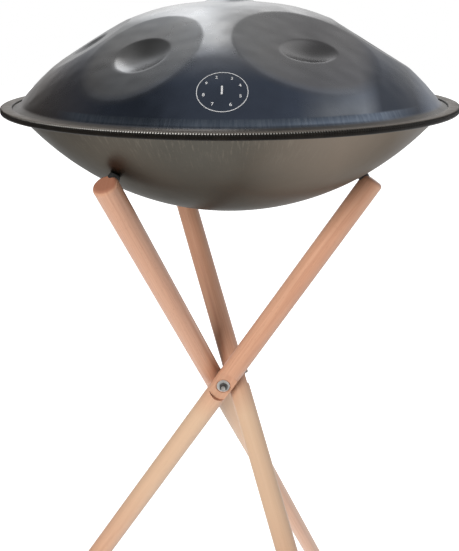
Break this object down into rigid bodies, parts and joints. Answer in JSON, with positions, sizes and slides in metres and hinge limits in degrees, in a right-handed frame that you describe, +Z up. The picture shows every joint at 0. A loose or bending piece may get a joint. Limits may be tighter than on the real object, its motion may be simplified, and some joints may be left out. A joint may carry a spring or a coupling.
{
  "type": "handpan on wooden stand",
  "caption": "Handpan of two shallow steel shells with dimpled tone fields and a ribbed rim, resting on a folding tripod of round beech rods.",
  "frame": {"origin": "centre of the whole object's box at floor level; the stand's hub axis is at X 90.1, Y -10.0 mm and the handpan's axis at X 100.6, Y -6.5 mm", "axes": "+Z up; the front, where the two lowest tone fields are, faces -Y; +X to the right"},
  "size_m": [0.7612, 0.819, 1.195],
  "materials": {
    "top_steel": "satin, nitrided blue-grey",
    "bottom_steel": "satin, nitrided brown-grey",
    "trim_rubber": "satin, ribbed",
    "adhesive": "matte",
    "beech": "satin lacquer",
    "plated_steel": "polished",
    "nylon": "matte",
    "bumper_rubber": "matte",
    "foot_rubber": "matte"
  },
  "bodies": {
    "hub": {"tri_stud_hub": "plated_steel", "stud_nuts": "plated_steel", "nut_washers": "plated_steel", "friction_washer_front": "nylon", "friction_washer_left": "nylon", "friction_washer_right": "nylon"},
    "leg_front": {"leg_front": "beech", "tip_bumper_front": "bumper_rubber", "rubber_foot_front": "foot_rubber"},
    "leg_left": {"leg_left": "beech", "tip_bumper_left": "bumper_rubber", "rubber_foot_left": "foot_rubber"},
    "leg_right": {"leg_right": "beech", "tip_bumper_right": "bumper_rubber", "rubber_foot_right": "foot_rubber"},
    "handpan": {"top_shell": "top_steel", "bottom_shell": "bottom_steel", "rim_trim": "trim_rubber", "rim_adhesive": "adhesive"}
  },
  "joints": [
    {"name": "leg_front_fold", "type": "hinge", "parent": "hub", "child": "leg_front", "pos_m": [0.09007, -0.01, 0.67764], "axis": [0, -1, 0], "range_deg": [0, 33.6]},
    {"name": "leg_left_fold", "type": "hinge", "parent": "hub", "child": "leg_left", "pos_m": [0.09007, -0.01, 0.67764], "axis": [-0.866, 0.5, 0], "range_deg": [0, 33.6]},
    {"name": "leg_right_fold", "type": "hinge", "parent": "hub", "child": "leg_right", "pos_m": [0.09007, -0.01, 0.67764], "axis": [0.866, 0.5, 0], "range_deg": [0, 33.6]},
    {"name": "handpan_lift", "type": "slide", "parent": "hub", "child": "handpan", "axis": [0, 0, 1], "range_m": [0, 0.323]}
  ],
  "couplings": [
    {"joint": "leg_left_fold", "follows": "leg_front_fold", "ratio": 1},
    {"joint": "leg_right_fold", "follows": "leg_front_fold", "ratio": 1},
    {"joint": "handpan_lift", "follows": "leg_front_fold", "m_per_rad": 0.55}
  ]
}
